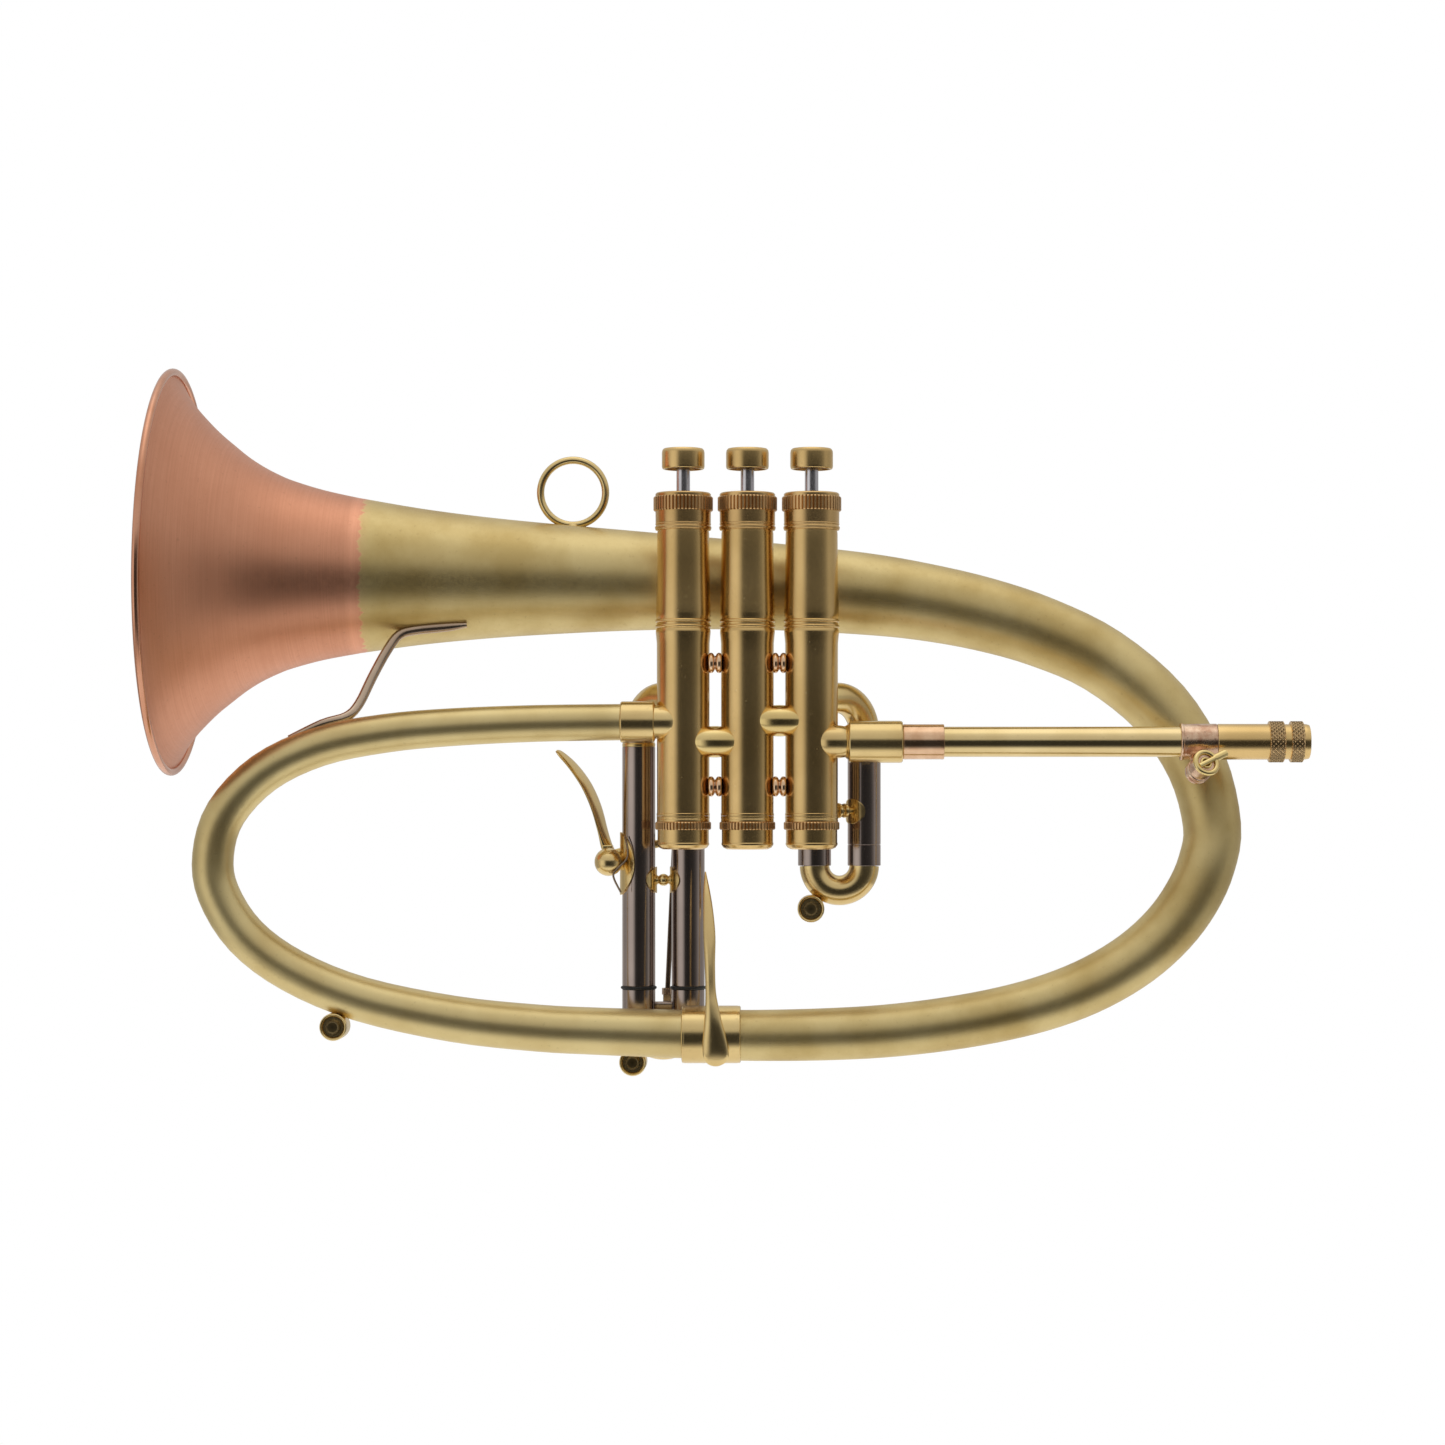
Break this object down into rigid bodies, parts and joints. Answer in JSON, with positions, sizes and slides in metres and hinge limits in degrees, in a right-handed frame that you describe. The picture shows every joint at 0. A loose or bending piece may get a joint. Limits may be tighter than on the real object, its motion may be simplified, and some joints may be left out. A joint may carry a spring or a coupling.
{
  "type": "flugelhorn",
  "caption": "Brass horn with a wide conical oval wrap, piston valves, a slide trigger and a flared copper bell, played with a straight-shank mouthpiece.",
  "frame": {"origin": "on the middle valve's axis, at the height of the leadpipe's axis, where the hand grips the casings", "axes": "+X towards the mouthpiece, +Z towards the finger buttons, +Y towards the bell's side of the valves"},
  "size_m": [0.4413, 0.1586, 0.2743],
  "materials": {
    "brass": "satin brushed lacquered yellow brass",
    "polished_brass": "bright satin gold-brass, lightly polished",
    "copper": "brushed copper with fine rings round the bell",
    "rose": "worn rose brass",
    "black_nickel": "glossy black nickel plate",
    "nickel_silver": "satin nickel silver",
    "steel": "bright turned steel",
    "felt": "dense wool felt",
    "rubber": "matt black rubber",
    "guide_plastic": "off-white moulded plastic"
  },
  "bodies": {
    "horn": {"valve_casing_1": "brass", "valve_casing_2": "brass", "valve_casing_3": "brass", "left_tube": "brass", "bell_tail": "brass", "top_caps": "polished_brass", "bottom_caps": "polished_brass", "crossovers": "polished_brass", "leadpipe_socket": "polished_brass", "outlet_ferrule": "polished_brass", "bottom_ferrule": "polished_brass", "finger_ring": "polished_brass", "hand_hook": "polished_brass", "first_slide_elbows": "polished_brass", "third_slide_elbows": "polished_brass", "trigger_saddle": "polished_brass", "bow_key_barrel": "polished_brass", "cap_felts": "felt", "valve_guides": "guide_plastic", "valve_spring_1": "steel", "valve_spring_2": "steel", "valve_spring_3": "steel", "trigger_spring": "steel", "casing_braces": "rose", "clamp_sleeve": "rose", "bell_braces": "rose", "slide_braces": "rose", "leadpipe_ferrule": "copper", "bell_flare": "copper", "rim_wire": "copper", "s_brace": "nickel_silver", "first_slide_sleeves": "black_nickel", "third_slide_sleeves": "black_nickel", "second_slide_sleeves": "black_nickel"},
    "first_slide": {"first_slide_legs": "black_nickel", "first_slide_bow": "polished_brass", "first_key_barrel": "polished_brass"},
    "second_slide": {"second_slide_bow": "polished_brass"},
    "third_slide": {"third_slide_legs": "black_nickel", "third_slide_bow": "polished_brass", "third_key_barrel": "polished_brass", "slide_bumpers": "rubber", "slide_rod": "nickel_silver"},
    "trigger": {"trigger_lever": "polished_brass"},
    "mouthpipe": {"leadpipe": "brass", "receiver": "polished_brass"},
    "clamp_screw": {"clamp_screw": "polished_brass"},
    "bow_key": {"bow_key_plunger": "polished_brass"},
    "first_key": {"first_key_plunger": "polished_brass"},
    "third_key": {"third_key_plunger": "polished_brass"},
    "piston_1": {"piston_1": "nickel_silver", "valve_stem_1": "steel", "finger_button_1": "polished_brass"},
    "piston_2": {"piston_2": "nickel_silver", "valve_stem_2": "steel", "finger_button_2": "polished_brass"},
    "piston_3": {"piston_3": "nickel_silver", "valve_stem_3": "steel", "finger_button_3": "polished_brass"}
  },
  "joints": [
    {"name": "piston_1_press", "type": "slide", "parent": "horn", "child": "piston_1", "axis": [0, 0, -1], "range_m": [0, 0.0128], "stiffness_N_per_m": 120, "springref_m": -0.03, "deforming": ["valve_spring_1"]},
    {"name": "piston_2_press", "type": "slide", "parent": "horn", "child": "piston_2", "axis": [0, 0, -1], "range_m": [0, 0.0128], "stiffness_N_per_m": 120, "springref_m": -0.03, "deforming": ["valve_spring_2"]},
    {"name": "piston_3_press", "type": "slide", "parent": "horn", "child": "piston_3", "axis": [0, 0, -1], "range_m": [0, 0.0128], "stiffness_N_per_m": 120, "springref_m": -0.03, "deforming": ["valve_spring_3"]},
    {"name": "first_slide_pull", "type": "slide", "parent": "horn", "child": "first_slide", "axis": [0, 0, -1], "range_m": [0, 0.015]},
    {"name": "second_slide_pull", "type": "slide", "parent": "horn", "child": "second_slide", "axis": [0, 1, 0], "range_m": [0, 0.008]},
    {"name": "third_slide_pull", "type": "slide", "parent": "horn", "child": "third_slide", "axis": [0, 0, -1], "range_m": [0, 0.0098]},
    {"name": "trigger_turn", "type": "hinge", "parent": "horn", "child": "trigger", "pos_m": [-0.0535, 0.018, -0.046], "axis": [0, 1, 0], "range_deg": [0, 22.1], "stiffness_Nm_per_rad": 0.15, "springref_deg": -34.38},
    {"name": "mouthpipe_tune", "type": "slide", "parent": "horn", "child": "mouthpipe", "axis": [1, 0, 0], "range_m": [0, 0.016]},
    {"name": "clamp_screw_turn", "type": "hinge", "parent": "horn", "child": "clamp_screw", "pos_m": [0.173, -0.018, -0.0081], "axis": [0.3, -0.8614, 0.4099], "range_deg": [0, 360]},
    {"name": "bow_key_press", "type": "slide", "parent": "horn", "child": "bow_key", "axis": [0, 1, 0], "range_m": [0, 0.0012], "stiffness_N_per_m": 400, "springref_m": -0.003},
    {"name": "first_key_press", "type": "slide", "parent": "first_slide", "child": "first_key", "axis": [0, 1, 0], "range_m": [0, 0.0012], "stiffness_N_per_m": 400, "springref_m": -0.003},
    {"name": "third_key_press", "type": "slide", "parent": "third_slide", "child": "third_key", "axis": [0, 1, 0], "range_m": [0, 0.0012], "stiffness_N_per_m": 400, "springref_m": -0.003}
  ],
  "couplings": [
    {"joint": "trigger_turn", "follows": "third_slide_pull", "rad_per_m": 39.18}
  ]
}
